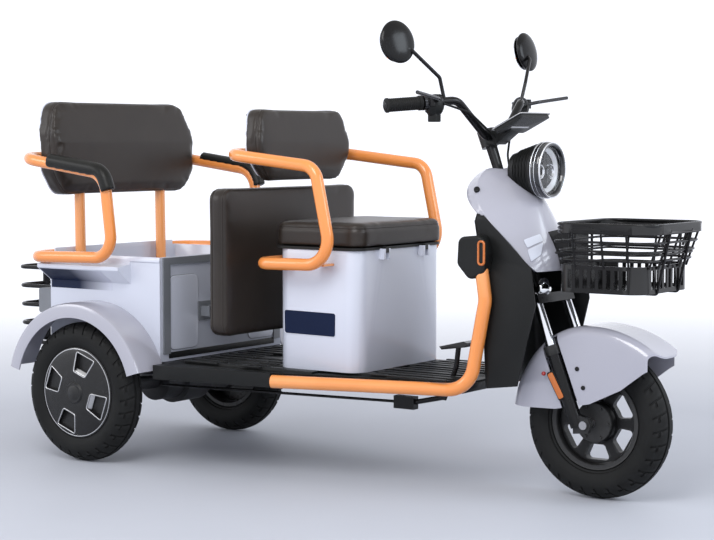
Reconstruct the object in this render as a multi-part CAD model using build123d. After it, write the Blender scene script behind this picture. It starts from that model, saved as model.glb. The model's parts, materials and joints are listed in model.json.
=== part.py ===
"""Electric tricycle: driver's seat, folding rear seat, cargo box, front basket.

Millimetres. +X runs forwards, +Y to the vehicle's left, +Z up, the ground is Z = 0. Lengths along X are
given from the rear axle; finish() moves every piece so that the origin is under the middle of the vehicle.
"""

import math
import os

from build123d import *

os.makedirs("parts", exist_ok=True)

# ---------------------------------------------------------------- driving dimensions
WHEELBASE = 1500
TRACK = 684                      # between the rear tyres' middle planes
TYRE_RADIUS = 203                # 3.00-10 tyre
TYRE_HALF_WIDTH = 46
RIM_RADIUS = 116
FLANGE_RADIUS = 124
REAR_REACH = 384                 # rear rack, behind the rear axle
FRONT_REACH = 1727               # basket rim, ahead of the rear axle
CENTRE_X = (FRONT_REACH - REAR_REACH) / 2

RAKE = 21                        # steering axis, degrees from upright
AXIS_X, AXIS_Z = 1186, 864       # a point of the steering axis
LEG_AHEAD = 32                   # fork legs ahead of the steering axis
LEG_SPREAD = 80                  # fork legs, each side of the middle

FLOOR_Z = 292                    # underside of the floor
RIB_TOP = 304
RAIL_Y = 205                     # frame rails, each side of the middle
RAIL_RADIUS = 18                 # round orange side rails
ARM_RADIUS = 17                  # round orange armrest tubes

BOX_REAR, BOX_FRONT = -190, 240
BOX_HALF = 288
BOX_TOP = 600
SHELL = 5                        # moulded plastic walls

SEAT_REAR, SEAT_FRONT = 603, 880
SEAT_HALF = 215
SEAT_TOP = 636

PIVOT_X, PIVOT_Z = 265, 434      # the folding seat's pivot
BAR_RADIUS = 11
MIRROR_YAW = {-1: -20, 1: 0}     # how far the right and the left mirror are turned in
HINGE_X, HINGE_Z = 893, 634      # the driver's seat lid hinge
RUN = 0.05                       # radial clearance of a turning fit

REAR_AXLE = Axis((0, 0, TYRE_RADIUS), (0, 1, 0))
FRONT_AXLE = Axis((WHEELBASE, 0, TYRE_RADIUS), (0, 1, 0))


# ---------------------------------------------------------------- helpers
def tidy(shape):
    """One shape from the solids of a list or of a boolean's result."""
    solids = shape.solids() if not isinstance(shape, list) else [s for part in shape for s in part.solids()]
    return solids[0] if len(solids) == 1 else Compound(children=solids)


def both_sides(shape):
    """The shape and its mirror image on the other side, as separate solids."""
    return tidy([shape, mirror(shape, about=Plane.XZ)])


def mirrored_union(shape):
    """The shape fused with its mirror image across the middle."""
    return shape + mirror(shape, about=Plane.XZ)


def box(x, y, z):
    """Box between three (low, high) pairs."""
    size = [high - low for low, high in (x, y, z)]
    middle = [(low + high) / 2 for low, high in (x, y, z)]
    return Pos(*middle) * Box(*size)


def side_face(outline, y, rounding=0):
    """Face of a side outline, (x, z) points, at one distance across the vehicle."""
    face = Plane((0, y, 0), x_dir=(1, 0, 0), z_dir=(0, -1, 0)) * make_face(Polyline(*outline, close=True))
    return fillet(face.vertices(), rounding) if rounding else face


def slab(outline, y_from, y_to, rounding=0):
    """Plate of a side outline between two distances across the vehicle."""
    return extrude(side_face(outline, y_from, rounding), amount=y_to - y_from, dir=(0, 1, 0))


def flat(outline, z_from, z_to, rounding=0):
    """Plate of a plan outline, (x, y) points, between two heights."""
    face = Pos(0, 0, z_from) * make_face(Polyline(*outline, close=True))
    if rounding:
        face = fillet(face.vertices(), rounding)
    return extrude(face, amount=z_to - z_from, dir=(0, 0, 1))


def across(x, z, radius, y_from, y_to):
    """Round bar across the vehicle."""
    middle = (y_from + y_to) / 2
    return Pos(x, middle, z) * Rot(X=90) * Cylinder(radius, abs(y_to - y_from))


def rod(start, end, radius, end_radius=None):
    """Straight round bar or cone between two points."""
    line = Vector(*end) - Vector(*start)
    plane = Plane(origin=start, z_dir=line)
    far = radius if end_radius is None else end_radius
    if far == radius:
        return extrude(plane * Circle(radius), amount=line.length)
    cone = Cone(radius, far, line.length, align=(Align.CENTER, Align.CENTER, Align.MIN))
    return plane.location * cone


def round_tube(points, radius, bends):
    """Round bar along straight runs joined by tangent arcs."""
    path = FilletPolyline(*points, radius=bends)
    section = Plane(origin=path @ 0, z_dir=path % 0) * Circle(radius)
    return sweep(section, path=path)


def bar_loop(points, radius, bends):
    """Closed loop of round bar, from its half on the right, cut at the middle plane."""
    half = round_tube(points, radius, bends)
    return mirrored_union(half)


def spun(profile, centre_x, y=0, arc=360):
    """Solid of revolution about a wheel's axle: (radius, offset across) points."""
    plane = Plane((centre_x, y, TYRE_RADIUS), x_dir=(1, 0, 0), z_dir=(0, 0, 1))
    face = plane * make_face(Polyline(*profile, close=True))
    return revolve(face, axis=Axis((centre_x, 0, TYRE_RADIUS), (0, -1, 0)), revolution_arc=arc)


def axis_x(z):
    """The steering axis's distance ahead of the rear axle at a height."""
    return AXIS_X + (AXIS_Z - z) * math.tan(math.radians(RAKE))


def leg_x(z):
    """The fork legs' distance ahead of the rear axle at a height."""
    return axis_x(z) + LEG_AHEAD / math.cos(math.radians(RAKE))


def finish(name, shape):
    """Put a piece in the part's frame and write it."""
    shape = Pos(-CENTRE_X, 0, 0) * tidy(shape)
    shape.label = name
    export_step(shape, f"parts/{name}.step")


# ---------------------------------------------------------------- wheels
def tyre(centre_x, y):
    """Round-crowned tyre, seated on the rim between its flanges."""
    w = TYRE_HALF_WIDTH
    plane = Plane((centre_x, y, TYRE_RADIUS), x_dir=(1, 0, 0), z_dir=(0, 0, 1))
    crown = ThreePointArc((165, -w), (TYRE_RADIUS, 0), (165, w))
    near = Polyline((165, w), (145, w - 2), (125, 24), (RIM_RADIUS, 24))
    bead = Line((RIM_RADIUS, 24), (RIM_RADIUS, -24))
    far = Polyline((RIM_RADIUS, -24), (125, -24), (145, 2 - w), (165, -w))
    face = plane * make_face(Curve() + [crown, near, bead, far])
    return revolve(face, axis=Axis((centre_x, 0, TYRE_RADIUS), (0, 1, 0)))


def rim_barrel(centre_x, y):
    """Rim with its two flanges and a drop centre."""
    r, f = RIM_RADIUS, FLANGE_RADIUS
    profile = [(f, -29), (f, -24), (r, -24), (r, 24), (f, 24), (f, 29), (r - 3, 29), (r - 8, 20), (r - 8, -20), (r - 3, -29)]
    return spun(profile, centre_x, y)


def front_wheel():
    """Cast wheel: six broad spokes between the brake drum hub and the rim."""
    web = spun([(40, -9), (RIM_RADIUS - 6, -12), (RIM_RADIUS - 6, 12), (40, 9)], WHEELBASE)
    hub = spun([(6 + RUN, -38), (51, -38), (55, -30), (55, 22), (32, 30), (28, 38), (6 + RUN, 38)], WHEELBASE)
    window_in, window_out, half_arc = 60, 100, 22
    near, far = math.tan(math.radians(half_arc - 4)), math.tan(math.radians(half_arc))
    outline = [(window_in, -window_in * near), (window_out, -window_out * far * 0.94),
               (window_out, window_out * far * 0.94), (window_in, window_in * near)]
    window = slab([(WHEELBASE + u, TYRE_RADIUS + v) for u, v in outline], -30, 30, 9)
    wheel = rim_barrel(WHEELBASE, 0) + web + hub
    for k in range(6):
        wheel -= window.rotate(FRONT_AXLE, 30 + 60 * k)
    return wheel


def rear_wheel(side):
    """Rear wheel with a domed cover, four windows and a hub cap; side is -1 right, +1 left."""
    y = TRACK / 2
    cover = spun([(0, 30), (96, 27), (122, 27), (131, 33), (132, 37), (120, 42), (90, 47), (54, 50), (32, 50),
                  (28, 54), (0, 54)], 0, y)
    hub = spun([(10 + RUN, -38), (44, -38), (44, 31), (0, 31), (0, 26), (10 + RUN, 26)], 0, y)
    wheel = rim_barrel(0, y) + cover + hub
    outline = [(58, -24), (116, -37), (116, 37), (58, 24)]
    window = slab([(u, TYRE_RADIUS + v) for u, v in outline], y + 34, y + 60, 6)
    for k in range(4):
        wheel -= window.rotate(REAR_AXLE, -70 + 90 * k)
    return wheel if side > 0 else mirror(wheel, about=Plane.XZ)


# ---------------------------------------------------------------- frame
def main_frame():
    """Two floor rails with their cross members, front spine and outriggers."""
    frame = box((-235, 900), (RAIL_Y - 15, RAIL_Y + 15), (262, FLOOR_Z))
    frame = frame + mirror(frame, about=Plane.XZ)
    for x in (-220, 225, 560, 640, 885):
        frame += box((x - 15, x + 15), (-RAIL_Y, RAIL_Y), (264, 290))
    frame += box((885, 1165), (-20, 20), (264, 290)) + box((1135, 1165), (-140, 140), (264, 290))
    outriggers = None
    for side in (-1, 1):
        for x, reach in ((700, 283), (860, 245)):
            arm = box((x - 12, x + 12), sorted((side * (RAIL_Y + 5), side * reach)), (266, 286))
            outriggers = arm if outriggers is None else outriggers + arm
    return frame + (outriggers - side_rails())


def head_tube():
    """Head tube with its bearing cups, braced on a cross tube between the side rails."""
    top, bottom = axis_point(822), axis_point(585)
    head = rod(bottom, top, 25) - rod(axis_point(570), axis_point(840), 18)
    for low, high in ((585, 603), (804, 822)):
        head += rod(axis_point(low), axis_point(high), 27) - rod(axis_point(low - 5), axis_point(high + 5), 13 + RUN)
    cross = across(1247, 625, 16, -146, 146)
    brace = slab([(1232, 640), (1262, 640), (1225, 740), (1212, 740)], -5, 5)
    bore = rod(axis_point(570), axis_point(840), 18)
    return head + ((cross + brace) - bore)


def axis_point(z):
    """Point of the steering axis at a height."""
    return (axis_x(z), 0, z)


def side_rail():
    """Right side rail: along the floor's edge, then up into the leg shield's pod."""
    return round_tube([(652, -300, 276), (1205, -171, 279), (1252, -171, 520), (1240, -171, 600)],
                      RAIL_RADIUS, [75, 60])


def side_rails():
    """Both side rails."""
    return both_sides(side_rail())


FLOOR_EDGE = [(260, 345), (320, 342), (480, 318), (644, 300)]       # wide rear half: forwards, half width


def plan_of(side):
    """Closed plan outline from the points of its left side."""
    return side + [(x, -y) for x, y in reversed(side)]


def floor_panel():
    """Moulded floor: a thin plate with long ribs and a skirt round its rear half."""
    narrow = [(644, 278), (1165, 147), (1190, 130)]
    plate = flat(plan_of([(246, 286), (260, 286)] + FLOOR_EDGE + narrow), FLOOR_Z, FLOOR_Z + 6)
    skirt = flat(plan_of(FLOOR_EDGE), 258, FLOOR_Z)
    hollow = flat(plan_of([(x + 6 if x < 300 else x - 6, y - 6) for x, y in FLOOR_EDGE]), 250, FLOOR_Z)
    floor = plate + (skirt - hollow - box((240, 660), (-280, 280), (250, FLOOR_Z)))
    for k in range(-4, 5):
        if k == 0:
            continue
        y = k * 58
        end = 1150 if abs(k) < 3 else 1150 - (abs(k) - 2) * 200
        floor += Pos((300 + end) / 2, y, FLOOR_Z + 9) * Box(end - 300, 36, 6)
    return floor - box((1084, 1140), (-122, -102), (280, 310))


def rear_axle():
    """Axle housing, drive motor on its gear case, brake drums and the shafts that carry the wheels."""
    z = TYRE_RADIUS
    axle = across(0, z, 25, -262, 262)
    axle += across(0, z, 62, -40, 40)
    axle += across(0, z, 78, 40, 150)
    half = across(0, z, 66, -292, -262) + across(0, z, 10, -TRACK / 2 - 25, -262)
    for side in (1, -1):
        y = sorted((side * (RAIL_Y - 25), side * (RAIL_Y + 25)))
        axle += box((-32, 32), y, (z - 34, z + 27.8))
    return axle + half + mirror(half, about=Plane.XZ)


def leaf_springs():
    """Bowed leaf springs under the frame rails, with their hangers."""
    z = TYRE_RADIUS + 28
    leaf = None
    for length, low in ((470, 0), (330, -0.0)):
        half = length / 2
        rise = 22 * (half / 235) ** 2
        thickness = 8
        base = z + (0 if length == 470 else -0)
        face = make_face(Curve() + [
            ThreePointArc((-half, base + rise), (0, base), (half, base + rise)),
            Line((half, base + rise), (half, base + rise + thickness)),
            ThreePointArc((half, base + rise + thickness), (0, base + thickness), (-half, base + rise + thickness)),
            Line((-half, base + rise + thickness), (-half, base + rise))])
        solid = extrude(Plane((0, RAIL_Y - 25, 0), x_dir=(1, 0, 0), z_dir=(0, -1, 0)) * face, amount=50, dir=(0, 1, 0))
        leaf = solid if leaf is None else leaf + solid
    for x in (-228, 228):
        leaf += box((x - 7, x + 7), (RAIL_Y - 12, RAIL_Y + 12), (252, 261.9))
    return both_sides(leaf)


def foot_brake():
    """Pedal on its arm through the floor, with the lever and rod that run back to the axle."""
    pad = slab([(1092, 386), (1100, 378), (1172, 388), (1180, 400), (1168, 404)], -142, -82)
    arm = round_tube([(1135, -112, 384), (1128, -112, 330), (1090, -112, 240)], 7, [60])
    lever = rod((1092, -112, 246), (985, -112, 222), 7) + box((935, 1000), (-124, -100), (205, 240))
    pull = rod((940, -112, 222), (90, -112, 205), 4)
    return pad + arm + lever + pull


# ---------------------------------------------------------------- rear body
def box_section(inset, low):
    """Cross section of the rear box: straight sides flaring to a shoulder under the armrest tube."""
    right = [(-BOX_HALF + inset, low), (-BOX_HALF + inset, 520 + inset), (-344 + inset, 560 + inset / 2),
             (-344 + inset, 571), (-BOX_HALF + inset - 4, 578), (-BOX_HALF + inset, BOX_TOP)]
    return right + [(-y, z) for y, z in reversed(right)]


def rear_box():
    """Open cargo box with flared shoulders and a rounded top edge."""
    section = make_face(Polyline(*box_section(0, RIB_TOP - 6), close=True))
    plane = Plane((BOX_REAR, 0, 0), x_dir=(0, 1, 0), z_dir=(1, 0, 0))
    outer = extrude(plane * section, amount=BOX_FRONT - BOX_REAR, dir=(1, 0, 0))
    for side in (-1, 1):
        outer -= box((130, BOX_FRONT + 1), sorted((side * BOX_HALF, side * 350)), (500, 585))
    inner = box((BOX_REAR + SHELL, BOX_FRONT - SHELL), (-BOX_HALF + SHELL, BOX_HALF - SHELL), (RIB_TOP + 4, BOX_TOP + 20))
    rear_lip = box((BOX_REAR, BOX_REAR + SHELL), (-270, 270), (BOX_TOP - 2, 614))
    shell = outer + rear_lip - inner - rear_armrest_loop()
    return shell


def rear_box_trim():
    """Grey corner strips, top rail and rim of the cargo box's front and rear walls."""
    x = BOX_FRONT
    trim = box((x, x + 5), (-276, 276), (BOX_TOP - 22, BOX_TOP - 2))
    for side in (-1, 1):
        trim += box((x, x + 5), sorted((side * 246, side * 276)), (320, BOX_TOP - 20))
    rim = box((BOX_REAR - 5, BOX_REAR), (-270, 270), (BOX_TOP - 26, BOX_TOP - 2))
    ears = [box((x, x + 38), sorted((s * y0, s * y1)), (PIVOT_Z - 15, PIVOT_Z + 15))
            for s in (-1, 1) for y0, y1 in ((70, 78), (102, 110))]
    ears += [across(PIVOT_X, PIVOT_Z, 6, s * 70, s * 110) for s in (-1, 1)]
    plates = [box((x, x + 5), sorted((s * 62, s * 118)), (PIVOT_Z - 28, PIVOT_Z + 28)) for s in (-1, 1)]
    pivots = ears[0]
    for piece in ears[1:] + plates:
        pivots = pivots + piece
    return tidy([trim, rim, pivots])


def rear_fenders():
    """Wheel arches beside the cargo box, with a deep rounded lip."""
    inner, outer, wall, face_y = 220, 263, 4, TRACK / 2 + 58
    start, end = 17, 166
    c, s = math.cos(math.radians(start)), math.sin(math.radians(start))
    plane = Plane((0, 0, TYRE_RADIUS), x_dir=(c, 0, s), z_dir=(-s, 0, c))
    section = [(outer, BOX_HALF), (outer, face_y - 14), (outer - 4, face_y - 4), (outer - 14, face_y),
               (inner, face_y), (inner, face_y - wall), (outer - 15, face_y - wall),
               (outer - wall - 3, face_y - wall - 4), (outer - wall, face_y - 15), (outer - wall, BOX_HALF)]
    face = plane * make_face(Polyline(*section, close=True))
    arch = revolve(face, axis=Axis((0, 0, TYRE_RADIUS), (0, -1, 0)), revolution_arc=end - start)
    return both_sides(arch)


def rear_armrest_loop():
    """Closed loop: behind the backrest, along both armrests, down and back behind the box."""
    y = -348
    return bar_loop([(-251, 0, 884), (-251, y, 884), (86, y, 838), (116, y, 598), (-214, y, 591), (-214, 0, 591)],
                    ARM_RADIUS, [70, 66, 62, 60])


def rear_armrest_frame():
    """Rear armrest loop, and the two posts that carry the backrest from the box's rear wall."""
    loop = rear_armrest_loop()
    for side in (-1, 1):
        loop += box((-240, -218), sorted((side * 140, side * 170)), (872, 896))
    posts = []
    for side in (-1, 1):
        post = rod((-160, side * 185, 440), (-164, side * 185, 763.6), 16)
        for z in (460, 550):
            post += box((BOX_REAR + SHELL, -160), sorted((side * 172, side * 198)), (z - 8, z + 8))
        posts.append(post)
    return tidy([loop] + posts)


def rear_armrest_pads():
    """Soft pads on the rear armrests."""
    pad = round_tube([(-125, -354, 876), (84, -354, 848), (106, -354, 790)], 22, [50])
    return both_sides(pad - rear_armrest_loop())


def cushion(x, y, z, rounding):
    """Plain upholstered block."""
    block = box(x, y, z)
    return fillet(block.edges(), rounding)


def rear_backrest():
    """Rear backrest: widest at its middle, leaning back and thinner at the top."""
    right = [(280, 765), (325, 840), (327, 960), (292, 1058)]
    outline = right + [(-y, z) for y, z in reversed(right)]
    plane = Plane((-250, 0, 0), x_dir=(0, 1, 0), z_dir=(1, 0, 0))
    face = fillet((plane * make_face(Polyline(*outline, close=True))).vertices(), 50)
    body = extrude(face, amount=150, dir=(1, 0, 0))
    lean = [(-206, 760), (-140, 760), (-128, 800), (-128, 930), (-166, 1062), (-232, 1062), (-206, 930)]
    return body & slab(lean, -400, 400)


def rear_rack():
    """Guard of five bars round the back of the box."""
    bars = []
    x_rear = -REAR_REACH + 6
    for k in range(5):
        z = 320 + 57 * k
        bar = round_tube([(-212, -236, z), (x_rear + 8 * (4 - k) / 4, -240, z), (x_rear + 8 * (4 - k) / 4, 0, z)], 6, [40])
        bars.append(mirrored_union(bar))
    rack = bars[0]
    for bar in bars[1:]:
        rack = rack + bar
    for y in (-236, -120, 120, 236):
        rack += box((-218, -206), (y - 12, y + 12), (306, 562))
    for y in (-120, 120):
        for z in (340, 540):
            rack += box((-208, BOX_REAR), (y - 12, y + 12), (z - 12, z + 12))
    for y in (-120, 120):
        rack += box((x_rear + 5, x_rear + 13), (y - 12, y + 12), (312, 556))
    return rack


def tail_lamps():
    """Lamp housings beside the rear rack."""
    lamp = box((-240, BOX_REAR), (-286, -252), (418, 492))
    return both_sides(fillet(lamp.edges().filter_by(Axis.Y), 8))


# ---------------------------------------------------------------- driver's seat
def driver_seat_box():
    """Moulded seat base that covers the battery, open at the top under the seat lid."""
    outer = fillet(box((SEAT_REAR, SEAT_FRONT), (-SEAT_HALF, SEAT_HALF), (RIB_TOP, SEAT_TOP)).edges().filter_by(Axis.Z), 45)
    inner = fillet(box((SEAT_REAR + SHELL, SEAT_FRONT - SHELL), (-SEAT_HALF + SHELL, SEAT_HALF - SHELL),
                       (RIB_TOP + SHELL, SEAT_TOP + 5)).edges().filter_by(Axis.Z), 40)
    shell = outer - inner
    for side in (-1, 1):
        for y in (88, 112):
            shell += box((SEAT_FRONT - 1, HINGE_X + 6), sorted((side * (y - 4), side * (y + 4))), (HINGE_Z - 24, HINGE_Z + 5.5))
        shell += across(HINGE_X, HINGE_Z, 4, side * 84, side * 116)
    return shell


def battery_pack():
    """The battery block inside the seat base."""
    return box((632, 850), (-185, 185), (RIB_TOP + SHELL, 500))


def driver_armrest_loop():
    """Closed loop: behind the backrest, along both armrests, down and back behind the seat base."""
    y = -275
    return bar_loop([(475, 0, 897), (475, y, 897), (780, y, 864), (838, y, 600), (584, y, 597), (584, 0, 597)],
                    ARM_RADIUS, [60, 50, 70, 45])


def driver_armrest_frame():
    """Driver's armrest loop with the straps that fix it to the seat base and the backrest."""
    loop = driver_armrest_loop()
    for side in (-1, 1):
        for x in (650, 780):
            loop += box((x - 20, x + 20), sorted((side * SEAT_HALF, side * 262)), (595, 601))
        loop += box((478, 494), sorted((side * 90, side * 120)), (885, 909))
    return loop


def driver_backrest():
    """Driver's backrest: widest near its middle, its rear lower edge well rounded."""
    right = [(172, 815), (226, 890), (226, 940), (200, 1028)]
    outline = right + [(-y, z) for y, z in reversed(right)]
    plane = Plane((440, 0, 0), x_dir=(0, 1, 0), z_dir=(1, 0, 0))
    face = fillet((plane * make_face(Polyline(*outline, close=True))).vertices(), 34)
    body = extrude(face, amount=140, dir=(1, 0, 0))
    lean = [(518, 812), (546, 812), (554, 850), (554, 930), (536, 1032), (472, 1032), (494, 930), (494, 850)]
    return body & slab(lean, -300, 300)


def driver_cushion():
    """Driver's seat cushion."""
    block = box((586, 892), (-222, 222), (SEAT_TOP + 8, 712))
    block = fillet(block.edges().filter_by(Axis.Z), 40)
    return fillet(block.faces().sort_by(Axis.Z)[-1].edges(), 20)


def driver_seat_pan():
    """Tray under the driver's cushion, hinged at the front."""
    pan = fillet(box((590, 884), (-218, 218), (SEAT_TOP + 0.5, SEAT_TOP + 8)).edges().filter_by(Axis.Z), 38)
    for side in (-1, 1):
        ear = box((870, HINGE_X + 6), (-8, 8), (HINGE_Z - 6, HINGE_Z + 9))
        ear = ear - box((860, 886), (-9, 9), (HINGE_Z - 10, SEAT_TOP + 0.5))
        ear = Pos(0, side * 100, 0) * ear
        pan += ear
    for side in (-1, 1):
        pan -= across(HINGE_X, HINGE_Z, 4 + RUN, side * 90, side * 110)
        for y in (88, 112):
            pan -= box((SEAT_FRONT - 3, HINGE_X + 8), sorted((side * (y - 4.5), side * (y + 4.5))), (HINGE_Z - 24, HINGE_Z + 6))
    return pan


# ---------------------------------------------------------------- folding rear seat
def rear_seat_cushion():
    """Rear seat cushion, standing folded behind the driver's seat."""
    block = box((443, 505), (-326, 326), (383, 808))
    return fillet(block.edges().filter_by(Axis.X), 36)


def rear_seat_frame():
    """Back plate and the two arms that swing the rear seat about its pivot."""
    plate = box((437, 442.8), (-290, 290), (410, 780))
    frame = plate
    for side in (-1, 1):
        arm = slab([(PIVOT_X - 13, PIVOT_Z - 13), (440, PIVOT_Z - 13), (440, PIVOT_Z + 13),
                    (PIVOT_X - 13, PIVOT_Z + 13)], side * 90 - 8, side * 90 + 8)
        frame += arm
    for side in (-1, 1):
        frame -= across(PIVOT_X, PIVOT_Z, 6 + RUN, side * 80, side * 100)
    return frame


# ---------------------------------------------------------------- front body
def leg_shield():
    """Shell that wraps the steering head behind and beside the front wheel."""
    outline = [(1233, 284), (1214, 620), (1196, 724), (1204, 748), (1222, 750), (1376, 606), (1389, 510), (1337, 298)]
    outer = slab(outline, -152, 152)
    rear = outer.edges().filter_by(lambda e: abs(e.center().Y) > 151 and e.center().X < 1224)
    outer = fillet(rear, 24)
    core = slab([(1237, 270), (1218, 620), (1200.5, 724), (1207, 744), (1222, 760), (1420, 760), (1420, 270)], -148, 148)
    core = fillet(core.edges().filter_by(lambda e: abs(e.center().Y) > 147 and e.center().X < 1230), 20)
    shield = outer - core
    shield -= envelope_hood()
    shield -= across(1247, 625, 16, -160, 160)
    shield -= rod(axis_point(700), axis_point(800), 32)
    return shield


HOOD_SECTIONS = [                # height; forwards: rear edge, side edge, nose; half widths: rear, side
    (596, 1358, 1378, 1404, 112, 124),
    (640, 1316, 1336, 1394, 132, 140),
    (700, 1254, 1276, 1366, 140, 146),
    (750, 1200, 1226, 1340, 138, 144),
    (795, 1150, 1196, 1312, 98, 122),
    (832, 1150, 1186, 1278, 68, 96),
    (862, 1176, 1194, 1240, 34, 50),
]


def hood_solid(inset, top_drop):
    """Lofted body of the front panel, its walls moved in by an inset."""
    faces = []
    for z, rear, side, nose, rear_half, half in HOOD_SECTIONS:
        x, y = rear + inset, rear_half - inset
        wide = half - inset
        mid = (side + (nose - side) * 0.66 - inset, wide * 0.55)
        front = Spline((side, -wide), (mid[0], -mid[1]), (nose - inset, 0), mid, (side, wide))
        back = Polyline((side, wide), (x, y), (x, -y), (side, -wide))
        height = z - top_drop if z > 700 else z
        faces.append(Pos(0, 0, height) * make_face(Curve() + [front, back]))
    return loft(faces, ruled=False)


def envelope_hood():
    """The front panel's outer form, as a cutter."""
    return hood_solid(-0.5, 0)


def headlight_envelope(gap):
    """The headlight's outer form, grown by a gap."""
    return rod((1243 - gap, 0, 857), (1322, 0, 857), 44 + gap, 71 + gap)


def front_panel():
    """White nose: wraps the steering head, hollow behind, open for the stem and the headlight."""
    nose = hood_solid(0, 0)
    core = hood_solid(4, 4)
    nose -= core
    nose -= slab([(1100, 570), (1364, 570), (1368, 596), (1268, 700), (1216, 744), (1100, 744)], -128, 128)
    nose -= rod(axis_point(800), axis_point(900), 48)
    nose -= headlight_envelope(1.5)
    nose -= rod(axis_point(560), axis_point(800), 30)
    return nose


def side_pods():
    """Pods on the leg shield's flanks, where the side rails end."""
    pod = slab([(1178, 684), (1250, 690), (1262, 640), (1256, 590), (1212, 571), (1174, 612)], -190, -152.2, 20)
    outer_face = pod.faces().sort_by(Axis.Y)[0]
    pod = fillet(outer_face.edges(), 8)
    pod -= side_rail()
    return both_sides(pod)


def headlight_bucket():
    """Finned lamp housing."""
    bucket = headlight_envelope(0)
    for k in range(5):
        x = 1262 + 11 * k
        ring = Pos(x, 0, 857) * Rot(Y=90) * (Cylinder(90, 3) - Cylinder(46 + k * 3.6, 3))
        bucket -= ring
    return bucket - rod((1312, 0, 857), (1330, 0, 857), 62)


def headlight_bezel():
    """Chrome ring of the headlight."""
    ring = rod((1322, 0, 857), (1355, 0, 857), 75) - rod((1320, 0, 857), (1358, 0, 857), 63)
    return fillet(ring.edges().filter_by(GeomType.CIRCLE).sort_by(Axis.X)[-2:], 3)


def headlight_lens():
    """Headlight glass."""
    dome = Pos(1344 - 262, 0, 857) * Sphere(270)
    return dome & rod((1341, 0, 857), (1358, 0, 857), 62.9)


def basket_loop(z, grow, radius):
    """Closed wire round the basket at a height."""
    back, front, half, corner = 1442, 1697 + grow, 146 + grow * 0.5, 60
    half_loop = round_tube([(back, 0, z), (back, -half, z), (front, -half, z), (front, 0, z)], radius, [14, corner])
    return mirrored_union(half_loop)


def basket():
    """Front basket: slotted tray, wire sides, a flat rim band and the bracket to the steering head."""
    tray_back, tray_front, tray_half, corner = 1440, 1688, 146, 52
    tray_face = Pos((tray_back + tray_front) / 2, 0, 550) * RectangleRounded(tray_front - tray_back, 2 * tray_half, corner)
    tray = extrude(tray_face, amount=70, dir=(0, 0, 1))
    hollow_face = Pos((tray_back + tray_front) / 2, 0, 554) * RectangleRounded(
        tray_front - tray_back - 8, 2 * tray_half - 8, corner - 4)
    tray -= extrude(hollow_face, amount=80, dir=(0, 0, 1))
    for k in range(8):
        tray -= box((1478 + 22 * k, 1490 + 22 * k), (-200, 200), (562, 610))
    for k in range(8):
        y = -87.5 + 25 * k
        tray -= box((1600, 1800), (y - 7, y + 7), (562, 610))
    wires = tray
    for z, grow in ((650, 10), (680, 18)):
        wires += basket_loop(z, grow, 3)
    rim_face = Pos((1440 + FRONT_REACH) / 2, 0, 702) * RectangleRounded(FRONT_REACH - 1440, 2 * 166, 62)
    rim = extrude(rim_face, amount=22, dir=(0, 0, 1))
    gap_face = Pos((1440 + FRONT_REACH) / 2, 0, 700) * RectangleRounded(FRONT_REACH - 1440 - 8, 2 * 162, 58)
    rim -= extrude(gap_face, amount=30, dir=(0, 0, 1))
    wires += rim
    for side in (-1, 1):
        wires += round_tube([(1440, side * 62, 710), (1440, side * 62, 548), (1688, side * 62, 548),
                             (1725, side * 62, 712)], 3.5, [12, 8])
        for x in (1500, 1580, 1650):
            wires += rod((x, side * 146, 614), (x, side * 164, 712), 3)
    for y in (-110, 0, 110):
        wires += rod((1688, y, 614), (1724, y, 712), 3)
    bracket = slab([(1355, 694), (1444, 716), (1444, 606), (1380, 600), (1360, 640)], -36, 36)
    bracket -= slab([(1340, 680), (1438, 700), (1438, 620), (1340, 610)], -30, 30)
    return wires + (bracket - hood_solid(-0.3, 0))


# ---------------------------------------------------------------- steering
def steering_fork():
    """Stem, crown and the bright upper fork legs."""
    stem = rod(axis_point(545), axis_point(934), 13)
    crown = slab([(axis_x(520) - 26, 528), (leg_x(520) + 20, 512), (leg_x(545) + 22, 536), (axis_x(545) - 24, 552)],
                 -LEG_SPREAD - 18, LEG_SPREAD + 18)
    legs = [rod((leg_x(390), s * LEG_SPREAD, 390), (leg_x(535), s * LEG_SPREAD, 535), 13.5) for s in (-1, 1)]
    fork = stem + crown + legs[0] + legs[1]
    return fork - fork_lowers()


def fork_lowers():
    """Black lower legs with the axle lugs."""
    lowers = []
    for s in (-1, 1):
        leg = rod((leg_x(196), s * LEG_SPREAD, 196), (leg_x(400), s * LEG_SPREAD, 400), 18)
        leg += rod((leg_x(378), s * LEG_SPREAD, 378), (leg_x(402), s * LEG_SPREAD, 402), 21)
        lug = slab([(leg_x(203) - 6, 178), (WHEELBASE + 10, 182), (WHEELBASE + 18, 203), (WHEELBASE + 8, 222), (leg_x(225), 232)],
                   s * LEG_SPREAD - 9, s * LEG_SPREAD + 9)
        lowers.append(leg + lug - across(WHEELBASE, TYRE_RADIUS, 6, -95, 95))
    return tidy(lowers)


def front_axle():
    """Front axle with its nuts."""
    axle = across(WHEELBASE, TYRE_RADIUS, 6, -93, 93)
    for s in (-1, 1):
        axle += across(WHEELBASE, TYRE_RADIUS, 11, s * (LEG_SPREAD + 9.2), s * (LEG_SPREAD + 17))
        axle += across(WHEELBASE, TYRE_RADIUS, 9, s * 44, s * (LEG_SPREAD - 9.2))
    return axle


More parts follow.
